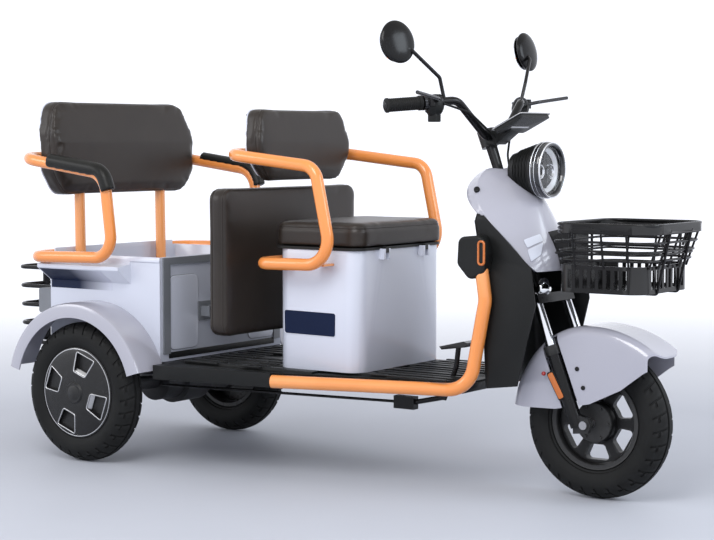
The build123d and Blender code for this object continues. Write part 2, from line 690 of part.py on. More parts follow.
def arch_form(inset):
    """Rounded arch over the front tyre, drawn longer ahead of the axle than behind it."""
    height, ahead, behind, half = 255 - inset, 290 - inset, 220 - inset, 84 - inset
    curves = [EllipticalCenterArc((WHEELBASE, TYRE_RADIUS), ahead, height, 0, arc_size=90),
              EllipticalCenterArc((WHEELBASE, TYRE_RADIUS), behind, height, 90, arc_size=90),
              Line((WHEELBASE - behind, TYRE_RADIUS), (WHEELBASE + ahead, TYRE_RADIUS))]
    plane = Plane((0, -half, 0), x_dir=(1, 0, 0), z_dir=(0, -1, 0))
    form = extrude(plane * make_face(Curve() + curves), amount=2 * half, dir=(0, 1, 0))
    rims = form.edges().filter_by(lambda e: abs(e.center().Z - TYRE_RADIUS) > 60 and abs(e.center().Y) > half - 1)
    return fillet(rims, 26 - inset)


def front_fender():
    """Front mudguard with side skirts and a rounded nose, slotted for the fork legs."""
    keep = slab([(1712, 376), (1760, 420), (1760, 520), (1200, 520), (1200, 262), (1285, 240), (1320, 236), (1412, 238),
                 (1512, 258), (1600, 300), (1660, 345)], -120, 120)
    nose = flat([(1200, -100), (1700, -100), (1700, 100), (1200, 100)], 180, 520, 80)
    guard = (arch_form(0) & keep & nose) - arch_form(4)
    for s in (-1, 1):
        guard -= rod((leg_x(170), s * LEG_SPREAD, 170), (leg_x(560), s * LEG_SPREAD, 560), 25)
    return guard


def handlebar():
    """Swept-back handlebar and its clamp."""
    half = round_tube([(1178, 0, 946), (1178, -48, 946), bar_point(-168), bar_point(-342)], BAR_RADIUS, [26, 44])
    clamp = rod(axis_point(918), axis_point(962), 24) - rod(axis_point(900), axis_point(934), 13)
    return mirrored_union(half) + clamp


def bar_point(y):
    """Point on the swept-back outer part of the handlebar."""
    t = (abs(y) - 168) / (356 - 168)
    return (1162 - 110 * t, y, 1040 - 16 * t)


def grips():
    """Rubber grips on the bar's ends."""
    bar = handlebar()
    made = [rod(bar_point(s * 262), bar_point(s * 346), 16) - bar for s in (-1, 1)]
    return tidy(made)


def hand_controls():
    """Brake levers, their perches and the switch pods beside the grips."""
    bar = handlebar()
    made = []
    for s in (-1, 1):
        pod = rod(bar_point(s * 212), bar_point(s * 256), 20)
        x, y, z = bar_point(s * 236)
        lever = round_tube([(x + 12, y, z), (x + 44, s * 264, z + 8), (1184, s * 395, 1056)], 5, [16])
        made.append(pod + lever - bar)
    return tidy(made)


def mirror_place(side):
    """Where a mirror sits and how it is turned; side is -1 right, +1 left."""
    return Pos(1086, side * 336, 1187) * Rot(0, -12, MIRROR_YAW[side])


def mirror_arms():
    """Mirror stems with their rounded housings."""
    bar = handlebar()
    made = []
    for s in (-1, 1):
        x, y, z = bar_point(s * 200)
        arm = round_tube([(x, y, z), (1144, s * 226, 1098), (1112, s * 306, 1164), (1092, s * 322, 1178)], 5, [14, 22])
        shell = mirror_place(s) * scale(Sphere(1), by=(15, 52, 56))
        made.append(arm + shell - bar)
    return tidy(made)


def mirror_glass():
    """Mirror faces, turned to the rear."""
    made = []
    for s in (-1, 1):
        face = mirror_place(s) * Pos(-15.4, 0, 0) * Rot(Y=90) * Ellipse(49, 45)
        made.append(extrude(face, amount=-2, dir=(mirror_place(s) * Pos(1, 0, 0)).position
                            - mirror_place(s).position))
    return tidy(made)


def display():
    """Instrument panel on its bracket ahead of the stem."""
    tilt = 27
    x, _, _ = axis_point(980)
    panel = Pos(x + 119, 0, 982) * Rot(Y=-tilt) * Box(92, 158, 14)
    panel = fillet(panel.edges().filter_by(lambda e: abs(e.length - 14) < 0.5), 10)
    arm = slab([(x + 26, 924), (x + 54, 924), (x + 98, 958), (x + 118, 984), (x + 84, 974), (x + 26, 968)], -28, 28)
    return panel + (arm - rod(axis_point(900), axis_point(990), 24) - handlebar())


def control_cables():
    """Brake and throttle cables from the levers, down beside the stem into the steering head."""
    made = []
    for s in (-1, 1):
        x, y, z = bar_point(s * 222)
        low = axis_point(832)
        points = [(x + 22, y, z - 4), (1190, s * 150, 1008), (1199, s * 46, 950), (1204, s * 24, 896),
                  (low[0] + 20, s * 16, 838)]
        made.append(round_tube(points, 3, [40, 45, 60]))
    return tidy(made) - handlebar() - hand_controls()


# ---------------------------------------------------------------- write every piece
PIECES = {
    "main_frame": main_frame,
    "head_tube": head_tube,
    "floor_panel": floor_panel,
    "side_rails": side_rails,
    "rear_axle": rear_axle,
    "leaf_springs": leaf_springs,
    "foot_brake": foot_brake,
    "rear_box": rear_box,
    "rear_box_trim": rear_box_trim,
    "rear_fenders": rear_fenders,
    "rear_armrest_frame": rear_armrest_frame,
    "rear_armrest_pads": rear_armrest_pads,
    "rear_backrest": rear_backrest,
    "rear_rack": rear_rack,
    "tail_lamps": tail_lamps,
    "driver_seat_box": driver_seat_box,
    "battery_pack": battery_pack,
    "driver_armrest_frame": driver_armrest_frame,
    "driver_backrest": driver_backrest,
    "driver_cushion": driver_cushion,
    "driver_seat_pan": driver_seat_pan,
    "rear_seat_cushion": rear_seat_cushion,
    "rear_seat_frame": rear_seat_frame,
    "leg_shield": leg_shield,
    "front_panel": front_panel,
    "side_pods": side_pods,
    "headlight_bucket": headlight_bucket,
    "headlight_bezel": headlight_bezel,
    "headlight_lens": headlight_lens,
    "basket": basket,
    "steering_fork": steering_fork,
    "fork_lowers": fork_lowers,
    "front_axle": front_axle,
    "front_fender": front_fender,
    "handlebar": handlebar,
    "grips": grips,
    "hand_controls": hand_controls,
    "mirror_arms": mirror_arms,
    "mirror_glass": mirror_glass,
    "display": display,
    "control_cables": control_cables,
    "front_tyre": lambda: tyre(WHEELBASE, 0),
    "front_wheel": front_wheel,
    "rear_tyre_right": lambda: tyre(0, -TRACK / 2),
    "rear_tyre_left": lambda: tyre(0, TRACK / 2),
    "rear_wheel_right": lambda: rear_wheel(-1),
    "rear_wheel_left": lambda: rear_wheel(1),
}

for piece_name, make in PIECES.items():
    finish(piece_name, make())
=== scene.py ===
"""Looks of an electric tricycle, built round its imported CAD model. Metres, +X forwards, +Z up."""

import json
import math

import bmesh
import bpy
from mathutils import Matrix, Vector


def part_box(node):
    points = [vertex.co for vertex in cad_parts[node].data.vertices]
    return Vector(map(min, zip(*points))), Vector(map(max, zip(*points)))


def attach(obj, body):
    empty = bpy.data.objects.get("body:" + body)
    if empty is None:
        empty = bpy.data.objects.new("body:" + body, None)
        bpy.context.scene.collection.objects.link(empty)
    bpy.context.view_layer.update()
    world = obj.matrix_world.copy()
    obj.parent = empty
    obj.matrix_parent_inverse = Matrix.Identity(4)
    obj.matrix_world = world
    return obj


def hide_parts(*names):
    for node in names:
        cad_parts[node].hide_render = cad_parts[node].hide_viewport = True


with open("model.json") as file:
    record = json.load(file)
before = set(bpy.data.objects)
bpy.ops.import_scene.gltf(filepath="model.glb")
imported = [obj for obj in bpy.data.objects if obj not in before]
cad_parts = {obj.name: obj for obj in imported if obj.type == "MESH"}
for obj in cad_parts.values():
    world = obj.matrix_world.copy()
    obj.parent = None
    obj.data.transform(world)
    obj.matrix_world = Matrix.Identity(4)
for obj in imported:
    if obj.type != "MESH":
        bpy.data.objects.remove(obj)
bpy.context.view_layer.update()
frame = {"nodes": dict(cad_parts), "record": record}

# ---------------------------------------------------------------- driving values
REAR = (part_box("rear_tyre_right")[0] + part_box("rear_tyre_right")[1]) / 2
AXLE_X, WHEEL_Z = REAR.x, REAR.z          # rear axle, and the wheels' middle height
TRACK_Y = abs(REAR.y)
WHEELBASE = 1.5
# Dark blue of the seat box's side patches, also used for the painted shade under the rear box's lip.
NAVY_AND_LIP_SHADE = ((0.0028, 0.0085, 0.034), (0.004, 0.011, 0.041))
FRONT = Vector((AXLE_X + WHEELBASE, 0, WHEEL_Z))

X, Y, Z = Vector((1, 0, 0)), Vector((0, 1, 0)), Vector((0, 0, 1))


def at(x, y, z):
    """A point given from the rear axle forwards, in metres."""
    return Vector((AXLE_X + x, y, z))


# ---------------------------------------------------------------- modelling by hand
def rest():
    """Object mode with nothing selected."""
    if bpy.context.object and bpy.context.object.mode != "OBJECT":
        bpy.ops.object.mode_set(mode="OBJECT")
    bpy.ops.object.select_all(action="DESELECT")


def take(obj):
    """Select one object alone."""
    rest()
    obj.select_set(True)
    bpy.context.view_layer.objects.active = obj


def settle(name):
    """Name the new object and put its place, turn and size into its mesh."""
    obj = bpy.context.object
    obj.name = obj.data.name = name
    take(obj)
    bpy.ops.object.transform_apply(location=True, rotation=True, scale=True)
    return obj


def cube(name, low, high):
    """Block between two corners."""
    rest()
    bpy.ops.mesh.primitive_cube_add(size=1, location=(low + high) / 2, scale=high - low)
    return settle(name)


def rod(name, start, end, radius, sides=32, end_radius=None):
    """Cylinder or cone from one point to another."""
    rest()
    line = end - start
    turn = line.to_track_quat("Z", "Y").to_euler()
    if end_radius is None:
        bpy.ops.mesh.primitive_cylinder_add(vertices=sides, radius=radius, depth=line.length,
                                            location=(start + end) / 2, rotation=turn)
    else:
        bpy.ops.mesh.primitive_cone_add(vertices=sides, radius1=radius, radius2=end_radius, depth=line.length,
                                        location=(start + end) / 2, rotation=turn)
    return settle(name)


def ball(name, centre, sizes, turn=(0, 0, 0), rings=16):
    """Ellipsoid of three half sizes."""
    rest()
    bpy.ops.mesh.primitive_uv_sphere_add(segments=rings * 2, ring_count=rings, radius=1, location=centre,
                                         scale=sizes, rotation=turn)
    return settle(name)


def pick(obj, test, kind="FACE"):
    """Edit mode with only those faces, edges or points selected whose middle and normal pass the test."""
    take(obj)
    bpy.ops.object.mode_set(mode="EDIT")
    bpy.ops.mesh.select_mode(type=kind)
    bpy.ops.mesh.select_all(action="DESELECT")
    mesh = bmesh.from_edit_mesh(obj.data)
    parts = {"FACE": mesh.faces, "EDGE": mesh.edges, "VERT": mesh.verts}[kind]
    for part in parts:
        if kind == "FACE":
            chosen = test(part.calc_center_median(), part.normal)
        elif kind == "EDGE":
            chosen = test((part.verts[0].co + part.verts[1].co) / 2,
                          (part.verts[1].co - part.verts[0].co).normalized())
        else:
            chosen = test(part.co, part.normal)
        if chosen:
            part.select_set(True)
    mesh.select_flush_mode()
    bmesh.update_edit_mesh(obj.data)


def done(obj):
    """Leave edit mode."""
    bpy.ops.object.mode_set(mode="OBJECT")
    obj.select_set(False)
    return obj


def mend(obj):
    """Merge doubles and turn every face outwards."""
    take(obj)
    bpy.ops.object.mode_set(mode="EDIT")
    bpy.ops.mesh.select_all(action="SELECT")
    bpy.ops.mesh.remove_doubles(threshold=0.00002)
    bpy.ops.mesh.normals_make_consistent(inside=False)
    return done(obj)


def change(obj, kind, **settings):
    """Add a modifier and apply it."""
    modifier = obj.modifiers.new(kind.lower(), kind)
    for key, value in settings.items():
        setattr(modifier, key, value)
    take(obj)
    bpy.ops.object.modifier_apply(modifier=modifier.name)
    return obj


def rounded(obj, width, segments=3, angle=30):
    """Bevel the sharp edges."""
    return change(obj, "BEVEL", width=width, segments=segments, limit_method="ANGLE",
                  angle_limit=math.radians(angle), harden_normals=False)


def smooth(obj, angle=35):
    """Shade smooth up to an angle."""
    take(obj)
    bpy.ops.object.shade_smooth_by_angle(angle=math.radians(angle))
    obj.select_set(False)
    return obj


def joined(name, parts):
    """One piece from several."""
    rest()
    for part in parts:
        part.select_set(True)
    bpy.context.view_layer.objects.active = parts[0]
    if len(parts) > 1:
        bpy.ops.object.join()
    obj = bpy.context.object
    obj.name = obj.data.name = name
    obj.select_set(False)
    return obj


def copied(obj, name, matrix):
    """A copy with its own mesh, moved by a matrix."""
    new = obj.copy()
    new.data = obj.data.copy()
    new.name = new.data.name = name
    bpy.context.scene.collection.objects.link(new)
    new.data.transform(matrix)
    if matrix.determinant() < 0:
        mend(new)
    return new


def drawn(name, points, closed=True):
    """Line of edges drawn point by point; closed joins its ends."""
    rest()
    bpy.ops.mesh.primitive_plane_add(size=0.002, location=points[0])
    obj = settle(name)
    take(obj)
    bpy.ops.object.mode_set(mode="EDIT")
    bpy.ops.mesh.select_mode(type="VERT")
    bpy.ops.mesh.select_all(action="SELECT")
    bpy.ops.mesh.merge(type="CENTER")
    for a, b in zip(points, points[1:]):
        bpy.ops.mesh.extrude_vertices_move(TRANSFORM_OT_translate={"value": b - a})
    if closed:
        bpy.ops.mesh.select_all(action="SELECT")
        bpy.ops.mesh.edge_face_add()
    return done(obj)


def plate(name, points, depth, corner=0.0, segments=6):
    """Outline filled, its corners rounded, and extruded by a vector."""
    obj = drawn(name, points)
    if corner:
        take(obj)
        bpy.ops.object.mode_set(mode="EDIT")
        bpy.ops.mesh.select_all(action="SELECT")
        bpy.ops.mesh.bevel(offset=corner, segments=segments, affect="VERTICES")
        done(obj)
    take(obj)
    bpy.ops.object.mode_set(mode="EDIT")
    bpy.ops.mesh.select_all(action="SELECT")
    bpy.ops.mesh.extrude_region_move(TRANSFORM_OT_translate={"value": depth})
    done(obj)
    return mend(obj)


def lathe(name, profile, centre, axis, steps=64, ring=True):
    """Form turned about an axis from (radius, along, twist) points; ring closes the profile."""
    side = axis.orthogonal().normalized()
    points = []
    for radius, along, *twist in profile:
        arm = Matrix.Rotation(twist[0] if twist else 0, 3, axis) @ side
        points.append(centre + arm * radius + axis * along)
    obj = drawn(name, points, closed=False)
    take(obj)
    bpy.ops.object.mode_set(mode="EDIT")
    bpy.ops.mesh.select_mode(type="VERT")
    if ring:
        mesh = bmesh.from_edit_mesh(obj.data)
        ends = [v for v in mesh.verts if len(v.link_edges) == 1]
        bpy.ops.mesh.select_all(action="DESELECT")
        for v in ends:
            v.select_set(True)
        bmesh.update_edit_mesh(obj.data)
        bpy.ops.mesh.edge_face_add()
    bpy.ops.mesh.select_all(action="SELECT")
    bpy.ops.mesh.spin(steps=steps, angle=math.tau, center=centre, axis=axis)
    done(obj)
    return mend(obj)


def wire(name, points, radius, smooth_line=True, resolution=8):
    """Round bar or cable along points."""
    curve = bpy.data.curves.new(name, "CURVE")
    curve.dimensions = "3D"
    curve.bevel_depth = radius
    curve.bevel_resolution = 3
    curve.resolution_u = resolution
    curve.use_fill_caps = True
    line = curve.splines.new("NURBS" if smooth_line else "POLY")
    line.points.add(len(points) - 1)
    for spot, point in zip(line.points, points):
        spot.co = (*point, 1)
    if smooth_line:
        line.order_u = 3
        line.use_endpoint_u = True
    obj = bpy.data.objects.new(name, curve)
    bpy.context.scene.collection.objects.link(obj)
    take(obj)
    bpy.ops.object.convert(target="MESH")
    obj = bpy.context.object
    obj.name = obj.data.name = name
    return smooth(obj, 60)


def soft_corners(points, radius, steps=5):
    """The points of a closed outline with each corner drawn as a small arc."""
    made = []
    for k, corner in enumerate(points):
        before = (points[k - 1] - corner).normalized() * radius
        after = (points[(k + 1) % len(points)] - corner).normalized() * radius
        for step in range(steps + 1):
            t = step / steps
            made.append(corner + before * (1 - t) ** 2 + after * t ** 2)
    return made


def loop_wire(name, points, radius):
    """Round wire along a closed outline."""
    return wire(name, list(points) + [points[0]], radius, smooth_line=False)


def piping(obj, name, place, normal, radius):
    """Cord along the line where a plane cuts a piece."""
    line = copied(obj, name, Matrix())
    take(line)
    bpy.ops.object.mode_set(mode="EDIT")
    bpy.ops.mesh.select_all(action="SELECT")
    bpy.ops.mesh.bisect(plane_co=place, plane_no=normal, clear_inner=True, clear_outer=True)
    done(line)
    take(line)
    bpy.ops.object.convert(target="CURVE")
    line = bpy.context.object
    line.data.bevel_depth = radius
    line.data.bevel_resolution = 2
    bpy.ops.object.convert(target="MESH")
    return smooth(bpy.context.object, 60)


# ---------------------------------------------------------------- materials
def node(tree, kind, **inputs):
    """Shader node with its inputs set."""
    new = tree.nodes.new(kind)
    for key, value in inputs.items():
        new.inputs[key.replace("_", " ")].default_value = value
    return new


def surface(name, colour, other, rough=(0.4, 0.5), metallic=0.0, patch=6.0, grain=300.0, relief=0.02,
            coat=0.0, sheen=0.0, cells=False, wear=0.0, wear_colour=(0.5, 0.5, 0.5), relief_size=0.001,
            shine=0.5):
    """Procedural finish: two tones in soft patches, a varied roughness and a fine relief."""
    material = bpy.data.materials.new(name)
    material.use_nodes = True
    tree = material.node_tree
    shader = tree.nodes["Principled BSDF"]
    shader.inputs["Metallic"].default_value = metallic
    shader.inputs["Coat Weight"].default_value = coat
    shader.inputs["Coat Roughness"].default_value = 0.08
    shader.inputs["Sheen Weight"].default_value = sheen
    shader.inputs["Specular IOR Level"].default_value = shine
    place = tree.nodes.new("ShaderNodeTexCoord").outputs["Object"]
    patches = node(tree, "ShaderNodeTexNoise", Scale=patch, Detail=4.0, Roughness=0.6)
    tree.links.new(place, patches.inputs["Vector"])
    tone = tree.nodes.new("ShaderNodeValToRGB")
    tone.color_ramp.elements[0].position = 0.3
    tone.color_ramp.elements[1].position = 0.7
    tone.color_ramp.elements[0].color = (*colour, 1)
    tone.color_ramp.elements[1].color = (*other, 1)
    tree.links.new(patches.outputs["Fac"], tone.inputs["Fac"])
    base = tone.outputs["Color"]
    if wear:
        edge = tree.nodes.new("ShaderNodeNewGeometry").outputs["Pointiness"]
        limit = node(tree, "ShaderNodeMapRange")
        limit.inputs["From Min"].default_value = 0.53
        limit.inputs["From Max"].default_value = 0.60
        limit.inputs["To Max"].default_value = wear
        tree.links.new(edge, limit.inputs["Value"])
        mix = tree.nodes.new("ShaderNodeMix")
        mix.data_type = "RGBA"
        mix.inputs["B"].default_value = (*wear_colour, 1)
        tree.links.new(limit.outputs["Result"], mix.inputs["Factor"])
        tree.links.new(base, mix.inputs["A"])
        base = mix.outputs["Result"]
    tree.links.new(base, shader.inputs["Base Color"])
    fine_kind = "ShaderNodeTexVoronoi" if cells else "ShaderNodeTexNoise"
    fine = node(tree, fine_kind, Scale=grain)
    if cells:
        fine.feature = "DISTANCE_TO_EDGE"
        fine_out = fine.outputs["Distance"]
    else:
        fine.inputs["Detail"].default_value = 3.0
        fine_out = fine.outputs["Fac"]
    tree.links.new(place, fine.inputs["Vector"])
    spread = node(tree, "ShaderNodeMapRange")
    spread.inputs["To Min"].default_value = rough[0]
    spread.inputs["To Max"].default_value = rough[1]
    tree.links.new(patches.outputs["Fac"], spread.inputs["Value"])
    tree.links.new(spread.outputs["Result"], shader.inputs["Roughness"])
    bump = node(tree, "ShaderNodeBump", Strength=relief, Distance=relief_size)
    tree.links.new(fine_out, bump.inputs["Height"])
    tree.links.new(bump.outputs["Normal"], shader.inputs["Normal"])
    return material


MATERIALS = {
    "orange_paint": surface("orange_paint", (0.80, 0.265, 0.058), (0.86, 0.30, 0.075), (0.2, 0.3), coat=0.5,
                            grain=700, relief=0.05, wear=0.25, wear_colour=(0.92, 0.55, 0.28)),
    "white_shell": surface("white_shell", (0.59, 0.615, 0.705), (0.605, 0.63, 0.72), (0.26, 0.31), coat=0.4,
                           patch=2.5, grain=500, relief=0.03),
    # Darker copy of white_shell for the hood and fenders: the lower tone is painted shade, the stronger coat
    # is real gloss.
    "shaded_white_shell": surface("shaded_white_shell", (0.365, 0.365, 0.425), (0.39, 0.39, 0.45), (0.19, 0.25), coat=0.8,
                           patch=2.5, grain=500, relief=0.03),
    "grey_trim": surface("grey_trim", (0.16, 0.17, 0.19), (0.20, 0.21, 0.23), (0.4, 0.5), grain=900,
                         relief=0.08),
    "black_plastic": surface("black_plastic", (0.006, 0.0065, 0.0065), (0.010, 0.0105, 0.0105), (0.34, 0.46),
                             shine=0.22, grain=1400, relief=0.25, wear=0.3, wear_colour=(0.04, 0.04, 0.04)),
    "frame_black": surface("frame_black", (0.004, 0.004, 0.0045), (0.008, 0.008, 0.0085), (0.14, 0.24),
                           shine=0.24, grain=600, relief=0.06, wear=0.35, wear_colour=(0.07, 0.07, 0.07)),
    "brown_leather": surface("brown_leather", (0.018, 0.0135, 0.011), (0.028, 0.0215, 0.0175), (0.28, 0.4),
                             shine=0.34, patch=5, grain=420, relief=0.35, cells=True, relief_size=0.0006),
    "black_leather": surface("black_leather", (0.005, 0.005, 0.0045), (0.009, 0.009, 0.008), (0.3, 0.42),
                             shine=0.25, grain=520, relief=0.3, cells=True, relief_size=0.0006),
    "rubber_black": surface("rubber_black", (0.006, 0.006, 0.006), (0.010, 0.010, 0.010), (0.5, 0.65),
                            shine=0.22, grain=900, relief=0.2),
    "tyre_black": surface("tyre_black", (0.007, 0.0072, 0.0072), (0.012, 0.0123, 0.0123), (0.55, 0.75),
                          patch=14, shine=0.2, grain=700, relief=0.3, wear=0.4,
                          wear_colour=(0.04, 0.04, 0.04)),
    "cast_black": surface("cast_black", (0.006, 0.006, 0.0065), (0.011, 0.011, 0.0115), (0.32, 0.46),
                          shine=0.25, grain=500, relief=0.12, wear=0.4, wear_colour=(0.08, 0.08, 0.08)),
    "cover_black": surface("cover_black", (0.010, 0.010, 0.0105), (0.016, 0.016, 0.0165), (0.2, 0.32),
                           shine=0.32, grain=1600, relief=0.35, wear=0.3, wear_colour=(0.07, 0.07, 0.07)),
    "chrome_bright": surface("chrome_bright", (0.75, 0.76, 0.78), (0.82, 0.83, 0.85), (0.06, 0.14),
                             metallic=1.0, grain=300, relief=0.01),
    "steel_axle": surface("steel_axle", (0.36, 0.36, 0.37), (0.46, 0.46, 0.48), (0.3, 0.42), metallic=1.0,
                          grain=400, relief=0.05),
    "cast_grey": surface("cast_grey", (0.03, 0.03, 0.032), (0.05, 0.05, 0.052), (0.45, 0.6), metallic=0.3,
                         grain=260, shine=0.35, relief=0.3),
    "spring_steel": surface("spring_steel", (0.02, 0.02, 0.022), (0.035, 0.035, 0.037), (0.4, 0.55),
                            metallic=0.4, shine=0.35, grain=300, relief=0.1),
    "lamp_red": surface("lamp_red", (0.30, 0.012, 0.012), (0.36, 0.02, 0.02), (0.12, 0.2), coat=0.5,
                        grain=200, relief=0.3, cells=True),
    "amber_lens": surface("amber_lens", (0.48, 0.115, 0.012), (0.56, 0.15, 0.02), (0.15, 0.25), coat=0.5,
                          grain=500, relief=0.5, cells=True),
    "mirror_silver": surface("mirror_silver", (0.85, 0.86, 0.88), (0.88, 0.89, 0.91), (0.02, 0.05),
                             metallic=1.0, relief=0.0),
    "battery_case": surface("battery_case", (0.03, 0.03, 0.04), (0.04, 0.04, 0.05), (0.5, 0.6), relief=0.1),
    "lever_silver": surface("lever_silver", (0.05, 0.05, 0.054), (0.08, 0.08, 0.084), (0.18, 0.3),
                            metallic=0.9, grain=400, relief=0.05),
    "window_silver": surface("window_silver", (0.48, 0.48, 0.49), (0.58, 0.58, 0.59), (0.2, 0.32),
                             metallic=0.9, grain=400, relief=0.05),
    "navy_paint": surface("navy_paint", *NAVY_AND_LIP_SHADE, (0.3, 0.4), shine=0.15, relief=0.02),
    "lamp_white": surface("lamp_white", (0.80, 0.80, 0.82), (0.86, 0.86, 0.88), (0.08, 0.16), coat=0.6,
                          grain=200, relief=0.05),
    "screen_dark": surface("screen_dark", (0.006, 0.007, 0.009), (0.010, 0.011, 0.014), (0.06, 0.12),
                           coat=0.8, relief=0.0),
    "floor_pale": surface("floor_pale", (0.47, 0.49, 0.55), (0.50, 0.52, 0.58), (0.5, 0.65), patch=0.8,
                          relief=0.0, shine=0.1),
}


def glass(name, tint, rough=0.02):
    """Clear moulded lens with a faint unevenness."""
    material = surface(name, tint, tint, (rough, rough + 0.03), grain=60, relief=0.02)
    shader = material.node_tree.nodes["Principled BSDF"]
    shader.inputs["Transmission Weight"].default_value = 1.0
    shader.inputs["IOR"].default_value = 1.2
    return material


MATERIALS["lens_clear"] = glass("lens_clear", (0.95, 0.96, 0.97))


def lip_shade_material():
    """Painted shade under the rear box's lip: dark blue that fades forwards into the box's white."""
    material = surface("painted_lip_shade", *NAVY_AND_LIP_SHADE, (0.3, 0.4), shine=0.2, relief=0.02)
    tree = material.node_tree
    split = tree.nodes.new("ShaderNodeSeparateXYZ")
    tree.links.new(tree.nodes["Texture Coordinate"].outputs["Object"], split.inputs["Vector"])
    fade = tree.nodes.new("ShaderNodeMapRange")
    fade.inputs["From Min"].default_value = AXLE_X - 0.070
    fade.inputs["From Max"].default_value = AXLE_X + 0.050
    tree.links.new(split.outputs["X"], fade.inputs["Value"])
    mix = tree.nodes.new("ShaderNodeMix")
    mix.data_type = "RGBA"
    mix.inputs["B"].default_value = (0.58, 0.60, 0.69, 1)
    tree.links.new(fade.outputs["Result"], mix.inputs["Factor"])
    tree.links.new(tree.nodes["Color Ramp"].outputs["Color"], mix.inputs["A"])
    tree.links.new(mix.outputs["Result"], tree.nodes["Principled BSDF"].inputs["Base Color"])
    return material


MATERIALS["painted_lip_shade"] = lip_shade_material()


def paint(obj, slot, material=None):
    """Give a piece one finish, the slot's own unless another material is named."""
    obj.data.materials.clear()
    obj.data.materials.append(MATERIALS[material or slot])
    return obj


def fit(obj, body, slot, material=None, replaces=()):
    """Finish a piece: its material, the body that it rides on and the nodes that it stands for, which it
    hides.
    """
    paint(obj, slot, material)
    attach(obj, body)
    if replaces:
        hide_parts(*replaces)
    return obj


# ---------------------------------------------------------------- CAD nodes
EDGE = {"rear_box": 0.003, "driver_seat_box": 0.003, "front_panel": 0.0015, "leg_shield": 0.0015,
        "main_frame": 0.002, "rear_rack": 0.0015, "side_pods": 0.002, "floor_panel": 0.002,
        "display": 0.0015, "rear_axle": 0.003}

# The hood and fenders take the darker copy of the white shell: painted shade.
SHADED_SHELLS = {"front_panel": "shaded_white_shell", "front_fender": "shaded_white_shell", "rear_fenders": "shaded_white_shell"}


def second_finish(node, material, chosen):
    """Give the chosen faces of a CAD node another finish."""
    obj = frame["nodes"][node]
    obj.data.materials.append(MATERIALS[material])
    for face in obj.data.polygons:
        if chosen(face.center, face.normal):
            face.material_index = len(obj.data.materials) - 1


def on_fork_tube(centre, normal):
    """True on the two bright slider tubes of the fork."""
    leg = 1.186 + (0.864 - centre.z) * math.tan(math.radians(21)) + 0.032 * math.cos(math.radians(21))
    reach = math.hypot(centre.x - (AXLE_X + leg), abs(centre.y) - 0.080)
    return reach < 0.024 and centre.z < 0.575


def dress_cad_nodes():
    """Every CAD node gets its slot's finish, softened edges and smooth shading up to an angle; the hood and
    fenders get a darker copy of the white shell, whose lower tone is painted shade.
    """
    slots = {s["node"]: s["material_slot"] for s in frame["record"]["subparts"]}
    for name, obj in frame["nodes"].items():
        paint(obj, slots[name], SHADED_SHELLS.get(name))
    second_finish("tail_lamps", "grey_trim", lambda c, n: n.x > -0.5)
    second_finish("steering_fork", "frame_black", lambda c, n: not on_fork_tube(c, n))
    for name, obj in frame["nodes"].items():
        obj.data.polygons.foreach_set("use_smooth", [True] * len(obj.data.polygons))
        weld = obj.modifiers.new("weld", "WELD")
        weld.merge_threshold = 0.00002
        if name in EDGE:
            bevel = obj.modifiers.new("bevel", "BEVEL")
            bevel.width = EDGE[name]
            bevel.segments = 2
            bevel.limit_method = "ANGLE"
            bevel.angle_limit = math.radians(35)
        split = obj.modifiers.new("split", "EDGE_SPLIT")
        split.split_angle = math.radians(32)


# ---------------------------------------------------------------- cushions
def swell(obj, most):
    """Fill the cushion out by cloth pressure, no point moving further than most."""
    before = [v.co.copy() for v in obj.data.vertices]
    cloth = obj.modifiers.new("cloth", "CLOTH")
    cloth.settings.use_pressure = True
    cloth.settings.uniform_pressure_force = 4
    cloth.settings.effector_weights.gravity = 0
    cloth.settings.quality = 4
    cloth.point_cache.frame_start = 1
    cloth.point_cache.frame_end = 20
    for number in range(1, 21):
        bpy.context.scene.frame_set(number)
    take(obj)
    bpy.ops.object.modifier_apply(modifier="cloth")
    for vertex, start in zip(obj.data.vertices, before):
        moved = vertex.co - start
        if moved.length > most:
            vertex.co = start + moved.normalized() * most
    bpy.context.scene.frame_set(1)


def upholstery(source, name, body, slot, seams, grow=0.004, voxel=0.006):
    """Stuffed piece in place of a plain CAD block, with a sunk seam and its cord at each plane given."""
    obj = bpy.data.objects.new(name, frame["nodes"][source].data.copy())
    bpy.context.scene.collection.objects.link(obj)
    low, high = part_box(source)
    middle, size = (low + high) / 2, high - low
    start = Matrix.Diagonal([1 - 2 * grow / side for side in size]).to_4x4()
    obj.data.transform(Matrix.Translation(middle) @ start @ Matrix.Translation(-middle))
    mend(obj)
    change(obj, "REMESH", mode="VOXEL", voxel_size=voxel)
    if voxel > 0.005:
        swell(obj, grow * 1.4)
    change(obj, "SMOOTH", factor=0.5, iterations=4)
    cords = []
    for number, (place, normal, trim) in enumerate(seams):
        pick(obj, lambda c, n: abs((c - place).dot(normal)) < voxel * 0.6)
        bpy.ops.transform.shrink_fatten(value=-0.0022)
        done(obj)
        cord = piping(obj, f"{name}_seam_{number + 1}", place + normal * 0.001, normal,
                      0.0016 if trim is None else 0.0026)
        cords.append((cord, trim))
    change(obj, "SUBSURF", levels=1)
    smooth(obj, 80)
    fit(obj, body, slot, replaces=(source,))
    for cord, trim in cords:
        fit(cord, body, slot, trim)
    return obj


def leaning(x_low, z_low, x_high, z_high, trim=None):
    """Seam plane across a leaning backrest, through two heights of its side."""
    normal = Vector((z_high - z_low, 0, x_low - x_high)).normalized()
    return at(x_low, 0, z_low), normal, trim


